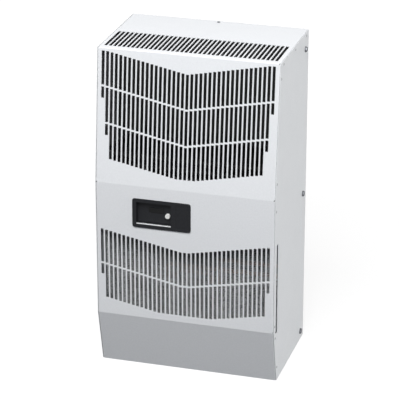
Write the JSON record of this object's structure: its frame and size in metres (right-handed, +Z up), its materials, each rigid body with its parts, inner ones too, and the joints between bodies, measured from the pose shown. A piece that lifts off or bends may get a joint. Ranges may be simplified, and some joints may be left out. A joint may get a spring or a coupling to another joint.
{
  "type": "enclosure cooling unit",
  "caption": "Slotted steel cabinet that hangs on an electrical enclosure and cools it, with a slide-out filter, controller, compressor, coils, fans and blower.",
  "frame": {"origin": "middle of the flat base, at the centre of the footprint", "axes": "+Z up the cabinet, front faces -Y, mounting side faces +Y, +X to the right seen from the front"},
  "size_m": [0.397, 0.267, 0.7126],
  "materials": {
    "cover_paint": "light grey fine-texture powder coat",
    "side_paint": "light grey fine-texture powder coat",
    "galvanised": "galvanised sheet",
    "divider_coat": "dark coated sheet",
    "foam": "black open foam",
    "gasket_rubber": "closed-cell sponge",
    "zinc": "zinc plated",
    "dark_screw": "dark plated",
    "rivet_metal": "satin",
    "rail_aluminium": "mill finish",
    "filter_metal": "dull mill finish",
    "mesh_metal": "bright expanded mesh",
    "bezel_plastic": "fine-grain moulded",
    "display_plastic": "smoked window",
    "knob_plastic": "white moulded",
    "bar_chrome": "satin bright",
    "black_plastic": "moulded",
    "rotor_plastic": "moulded",
    "fin_aluminium": "thin rolled foil",
    "coil_coat": "black baked coating over fins and tubes",
    "copper": "drawn copper tube",
    "compressor_paint": "black enamel",
    "rubber": "moulded rubber",
    "pan_plastic": "moulded",
    "box_steel": "galvanised sheet",
    "can_aluminium": "drawn can",
    "terminal_plastic": "moulded",
    "wire_insulation": "braided sleeve"
  },
  "bodies": {
    "cabinet": {"front_cover": "cover_paint", "left_side_panel": "side_paint", "right_side_panel": "side_paint", "panel_rivets": "rivet_metal", "cover_screws": "dark_screw", "chassis_back": "galvanised", "base_pan": "galvanised", "divider_panel": "divider_coat", "plenum_liner": "foam", "mounting_gasket": "gasket_rubber", "weld_nuts": "zinc", "upper_filter_rail": "rail_aluminium", "lower_filter_rail": "rail_aluminium", "control_bezel": "bezel_plastic", "display_window": "display_plastic", "trim_bar": "bar_chrome", "thermostat_body": "black_plastic", "sensor_bulb": "copper", "fan_deck": "divider_coat", "left_fan_frame": "black_plastic", "right_fan_frame": "black_plastic", "fan_screws": "zinc", "condenser_fins": "coil_coat", "condenser_tubes": "coil_coat", "condenser_end_plates": "divider_coat", "compressor_shell": "compressor_paint", "compressor_cap": "black_plastic", "compressor_grommets": "rubber", "compressor_bolts": "zinc", "accumulator": "compressor_paint", "filter_drier": "copper", "capillary_tube": "copper", "discharge_line": "copper", "liquid_line": "copper", "suction_line": "copper", "line_grommets": "rubber", "evaporator_fins": "fin_aluminium", "evaporator_tubes": "copper", "evaporator_end_plates": "galvanised", "condensate_pan": "pan_plastic", "drain_hose": "rubber", "drain_fitting": "black_plastic", "blower_bracket": "zinc", "blower_stator": "black_plastic", "inlet_ring": "galvanised", "inlet_guard": "dark_screw", "electrical_box": "box_steel", "electrical_cover": "box_steel", "contactor": "black_plastic", "run_capacitor": "can_aluminium", "terminal_block": "terminal_plastic", "cable_conduit": "black_plastic", "wire_harness": "wire_insulation"},
    "filter": {"filter_frame": "filter_metal", "filter_mesh": "mesh_metal"},
    "left_fan": {"left_fan_rotor": "rotor_plastic"},
    "right_fan": {"right_fan_rotor": "rotor_plastic"},
    "blower": {"blower_wheel": "rotor_plastic"},
    "adjuster": {"thermostat_knob": "knob_plastic"}
  },
  "joints": [
    {"name": "filter_slide", "type": "slide", "parent": "cabinet", "child": "filter", "axis": [1, 0, 0], "range_m": [0, 0.37]},
    {"name": "left_fan_spin", "type": "hinge", "parent": "cabinet", "child": "left_fan", "pos_m": [-0.075, -0.06075, 0.406], "axis": [0, 0, 1], "continuous": true},
    {"name": "right_fan_spin", "type": "hinge", "parent": "cabinet", "child": "right_fan", "pos_m": [0.075, -0.06075, 0.406], "axis": [0, 0, 1], "continuous": true},
    {"name": "blower_spin", "type": "hinge", "parent": "cabinet", "child": "blower", "pos_m": [0, 0.06, 0.585], "axis": [0, 1, 0], "continuous": true},
    {"name": "adjuster_turn", "type": "hinge", "parent": "cabinet", "child": "adjuster", "pos_m": [-0.0376, -0.12, 0.362], "axis": [0, -1, 0], "range_deg": [-135, 135]}
  ]
}
